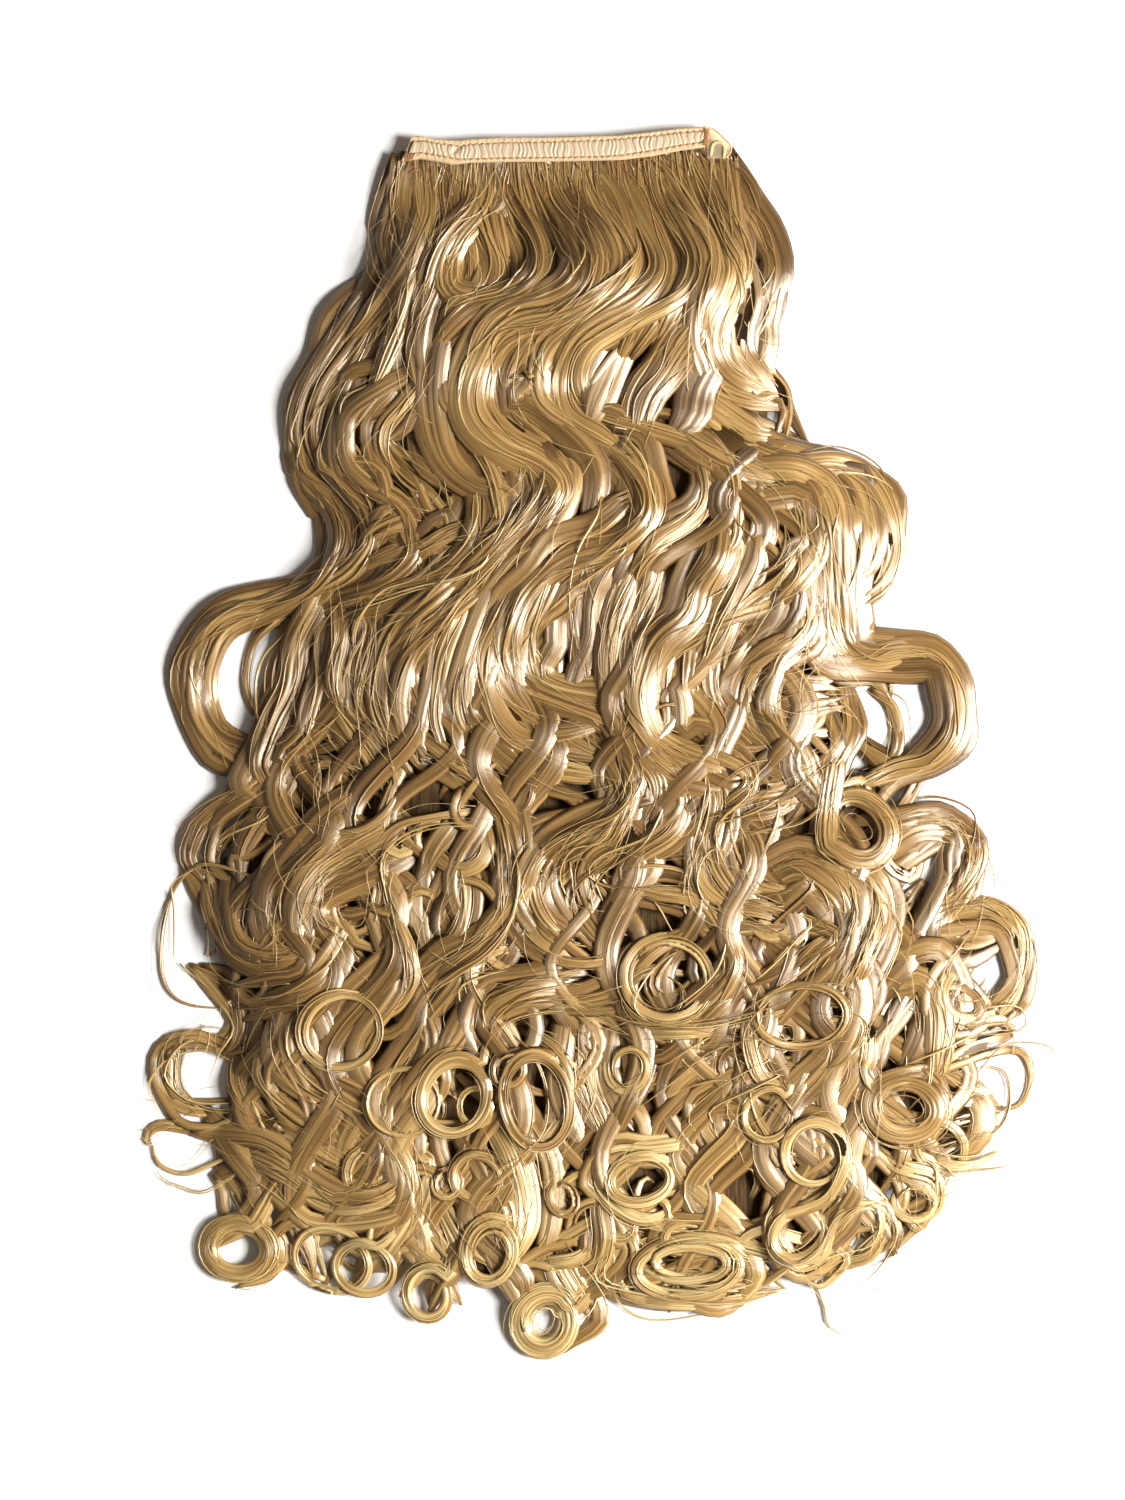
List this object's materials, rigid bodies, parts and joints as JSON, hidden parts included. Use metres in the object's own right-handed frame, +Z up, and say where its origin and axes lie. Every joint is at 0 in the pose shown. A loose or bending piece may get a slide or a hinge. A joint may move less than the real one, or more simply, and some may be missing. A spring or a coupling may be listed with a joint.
{
  "type": "ponytail extension",
  "caption": "Long wavy-to-curly blonde hairpiece lying flat, its locks sewn to a narrow gathered fabric band with a small clear tab at one end.",
  "frame": {"origin": "middle of the hidden clip's back face, under the middle of the band, on the surface that the hair lies on", "axes": "+Y from the curls towards the band, +X to the right as seen from above, +Z up from the surface"},
  "size_m": [0.4461, 0.6158, 0.0338],
  "materials": {
    "hair": "glossy synthetic strands, darker blonde at the band to pale ends",
    "tape": "matte cream woven tape, stitched",
    "satin": "soft satin, gathered",
    "clear_tab": "translucent amber elastic",
    "clip": "brown enamel"
  },
  "bodies": {
    "root": {"hair_fall": "hair", "band_tape": "tape", "band_panel": "satin", "end_tab": "clear_tab", "snap_clip": "clip"}
  },
  "joints": []
}
